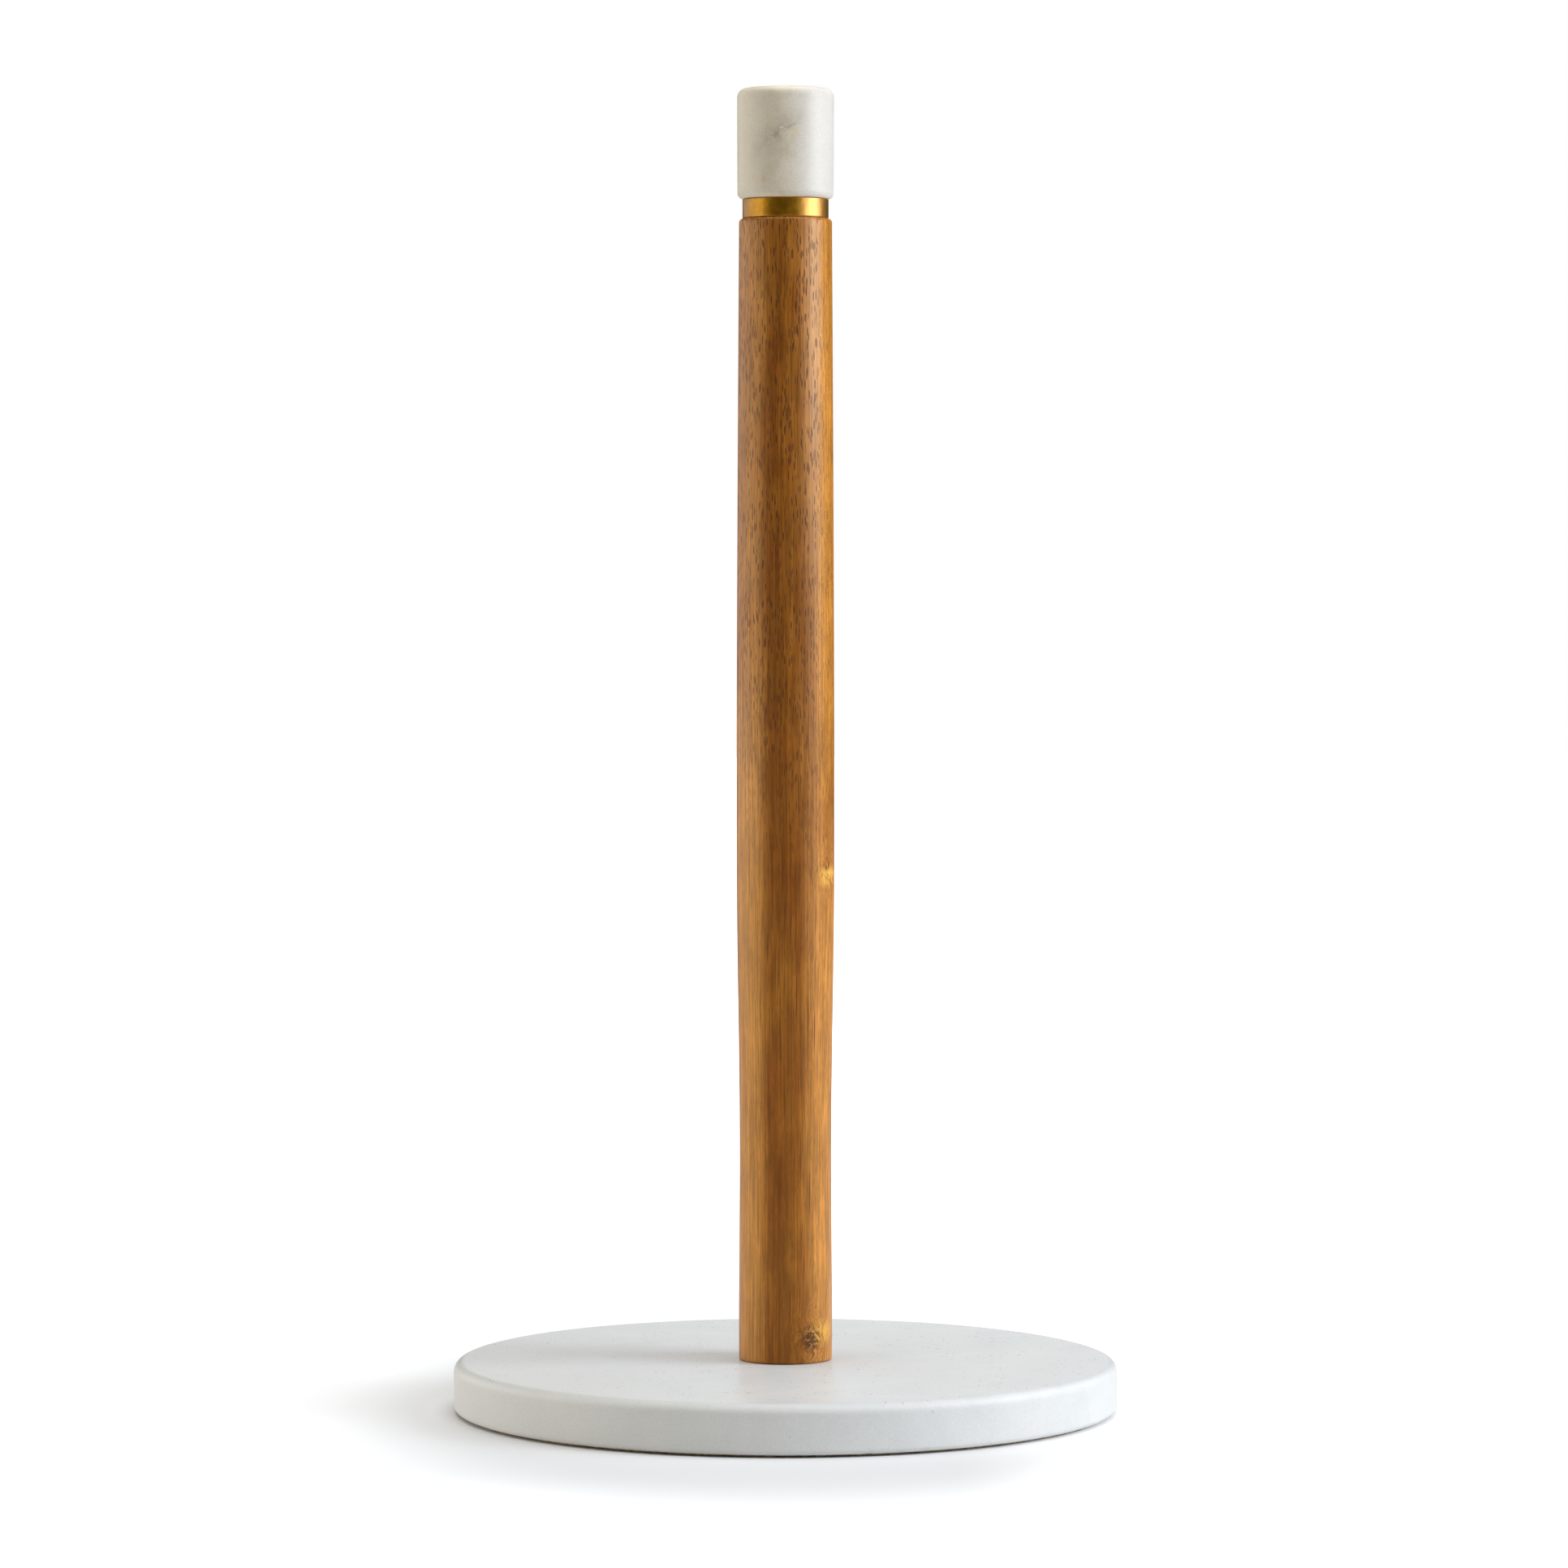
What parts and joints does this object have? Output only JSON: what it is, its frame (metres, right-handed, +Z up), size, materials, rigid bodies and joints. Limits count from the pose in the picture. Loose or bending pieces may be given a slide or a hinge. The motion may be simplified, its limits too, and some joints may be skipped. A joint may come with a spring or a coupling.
{
  "type": "paper towel holder",
  "caption": "Freestanding paper towel holder with a round polished stone base, a slender barrel-turned wooden post, a brass ring and a screw-on stone knob.",
  "frame": {"origin": "centre of the underside of the cork pad, on the surface that the holder stands on", "axes": "+Z up along the post, through the knob; +X to the right and +Y away from the viewer, both free because the holder is round"},
  "size_m": [0.178, 0.178, 0.3537],
  "materials": {
    "base_marble": "polished",
    "knob_marble": "polished",
    "acacia": "satin",
    "cork": "matte",
    "brass_ring": "satin",
    "brass_inserts": "satin",
    "zinc_steel": "satin",
    "fibre": "matte"
  },
  "bodies": {
    "base": {"base_slab": "base_marble", "base_pad": "cork", "fibre_washer": "fibre", "flat_washer": "zinc_steel", "spring_washer": "zinc_steel"},
    "bolt": {"base_bolt": "zinc_steel"},
    "post": {"post": "acacia", "foot_insert": "brass_inserts", "top_insert": "brass_inserts", "ferrule": "brass_ring"},
    "stud": {"knob_stud": "zinc_steel"},
    "knob": {"knob": "knob_marble"}
  },
  "joints": [
    {"name": "bolt_turn", "type": "hinge", "parent": "base", "child": "bolt", "pos_m": [0, 0, 0.0041], "axis": [0, 0, -1], "range_deg": [0, 6121]},
    {"name": "post_lift", "type": "slide", "parent": "base", "child": "post", "axis": [0, 0, 1], "range_m": [0, 0.017]},
    {"name": "knob_turn", "type": "hinge", "parent": "stud", "child": "knob", "pos_m": [0, 0, 0.3243], "axis": [0, 0, 1], "range_deg": [0, 4249]},
    {"name": "knob_lift", "type": "slide", "parent": "post", "child": "stud", "axis": [0, 0, 1], "range_m": [0, 0.0118]}
  ],
  "couplings": [
    {"joint": "bolt_turn", "follows": "post_lift", "rad_per_m": 6283.2},
    {"joint": "knob_turn", "follows": "knob_lift", "rad_per_m": 6283.2}
  ]
}
